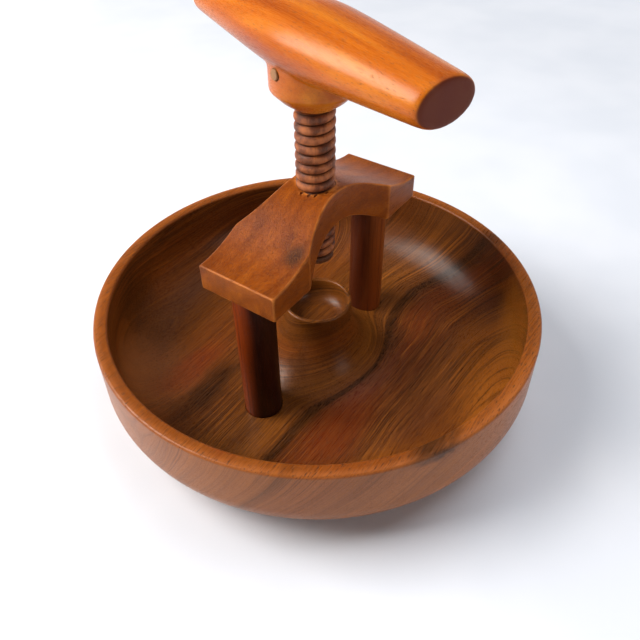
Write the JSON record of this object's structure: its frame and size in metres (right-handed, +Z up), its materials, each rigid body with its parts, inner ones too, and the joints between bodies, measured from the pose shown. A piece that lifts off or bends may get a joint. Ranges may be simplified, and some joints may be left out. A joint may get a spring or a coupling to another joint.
{
  "type": "screw nutcracker",
  "caption": "Wooden screw nutcracker standing in its own turned bowl, with a nut cup on a pedestal under an arched bridge on posts and a cross handle.",
  "frame": {"origin": "centre of the bowl's base, on the surface it stands on", "axes": "+Z up along the screw, +X along the bridge from the front post to the rear post"},
  "size_m": [0.251, 0.251, 0.2152],
  "materials": {
    "bowl_wood": "satin oiled, multi-tone brown face grain",
    "post_wood": "satin varnish, dark red-brown",
    "bridge_wood": "satin varnish, orange-brown with short pores",
    "screw_wood": "dull, dry, dusty brown",
    "handle_wood": "gloss varnish, orange-brown",
    "foot_wood": "dull hardwood",
    "pin_wood": "dull end grain",
    "steel": "satin"
  },
  "bodies": {
    "frame": {"bowl": "bowl_wood", "front_post": "post_wood", "rear_post": "post_wood", "front_post_screw": "steel", "rear_post_screw": "steel", "bridge": "bridge_wood"},
    "foot": {"pressure_foot": "foot_wood"},
    "screw": {"press_screw": "screw_wood", "handle": "handle_wood", "handle_pin": "pin_wood"}
  },
  "joints": [
    {"name": "screw_travel", "type": "slide", "parent": "frame", "child": "foot", "axis": [0, 0, 1], "range_m": [-0.04, 0.02]},
    {"name": "screw_turn", "type": "hinge", "parent": "foot", "child": "screw", "pos_m": [0, 0, 0.12], "axis": [0, 0, 1], "range_deg": [-2880, 1440]}
  ],
  "couplings": [
    {"joint": "screw_travel", "follows": "screw_turn", "m_per_rad": 0.00079577}
  ]
}
